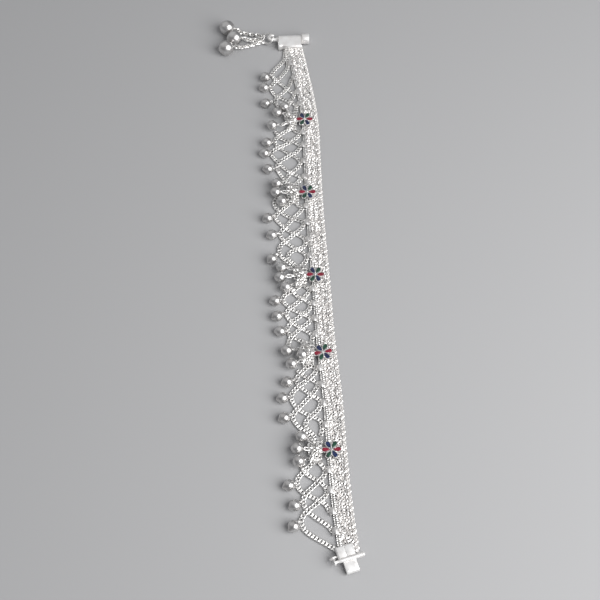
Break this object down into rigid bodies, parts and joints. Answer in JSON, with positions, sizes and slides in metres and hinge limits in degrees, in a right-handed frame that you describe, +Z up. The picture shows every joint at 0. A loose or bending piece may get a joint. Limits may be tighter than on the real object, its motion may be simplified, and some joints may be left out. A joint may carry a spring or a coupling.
{
  "type": "payal anklet",
  "caption": "Silver chain anklet lying open, with a bell-hung net of chain, enamelled flowers, a tassel and a hook-and-pin clasp.",
  "frame": {"origin": "bottom centre of the whole anklet's box, on the surface it lies on", "axes": "+Y runs along the band towards the clasp that carries the tassel, +X points away from the bells, +Z is up"},
  "size_m": [0.065, 0.281, 0.0074],
  "materials": {
    "band_silver": "bright silver chain, white where it catches the light",
    "chain_silver": "bright silver flat box chain",
    "bell_silver": "polished silver with soft wear",
    "flower_silver": "bright cut silver",
    "clasp_silver": "satin silver sheet and wire",
    "enamel_red": "glossy crimson enamel",
    "enamel_blue": "glossy deep blue enamel",
    "enamel_green": "glossy dark green enamel"
  },
  "bodies": {
    "root": {"band_rope": "band_silver", "band_chains": "band_silver", "band_flank": "band_silver", "net_1": "chain_silver", "net_2": "chain_silver", "net_3": "chain_silver", "net_4": "chain_silver", "net_5": "chain_silver", "net_6": "chain_silver", "edge_bell_01": "bell_silver", "edge_bell_02": "bell_silver", "edge_bell_03": "bell_silver", "edge_bell_04": "bell_silver", "edge_bell_05": "bell_silver", "edge_bell_06": "bell_silver", "edge_bell_07": "bell_silver", "edge_bell_08": "bell_silver", "edge_bell_09": "bell_silver", "edge_bell_10": "bell_silver", "edge_bell_11": "bell_silver", "edge_bell_12": "bell_silver", "edge_bell_13": "bell_silver", "edge_bell_14": "bell_silver", "edge_bell_15": "bell_silver", "edge_bell_16": "bell_silver", "edge_bell_17": "bell_silver", "edge_bell_18": "bell_silver", "cluster_bell_01": "bell_silver", "cluster_bell_02": "bell_silver", "cluster_bell_03": "bell_silver", "cluster_bell_04": "bell_silver", "cluster_bell_05": "bell_silver", "cluster_bell_06": "bell_silver", "cluster_bell_07": "bell_silver", "cluster_bell_08": "bell_silver", "cluster_bell_09": "bell_silver", "cluster_bell_10": "bell_silver", "cluster_bell_11": "bell_silver", "cluster_bell_12": "bell_silver", "cluster_bell_13": "bell_silver", "cluster_bell_14": "bell_silver", "cluster_bell_15": "bell_silver", "station_chains": "chain_silver", "flower_1": "flower_silver", "flower_2": "flower_silver", "flower_3": "flower_silver", "flower_4": "flower_silver", "flower_5": "flower_silver", "enamel_red": "enamel_red", "enamel_blue": "enamel_blue", "enamel_green": "enamel_green", "far_clasp": "clasp_silver", "clasp_pin": "clasp_silver", "tassel_ring": "chain_silver", "tassel_chains": "chain_silver", "tassel_bell_1": "bell_silver", "tassel_bell_2": "bell_silver", "tassel_bell_3": "bell_silver", "near_clasp": "clasp_silver"}
  },
  "joints": []
}
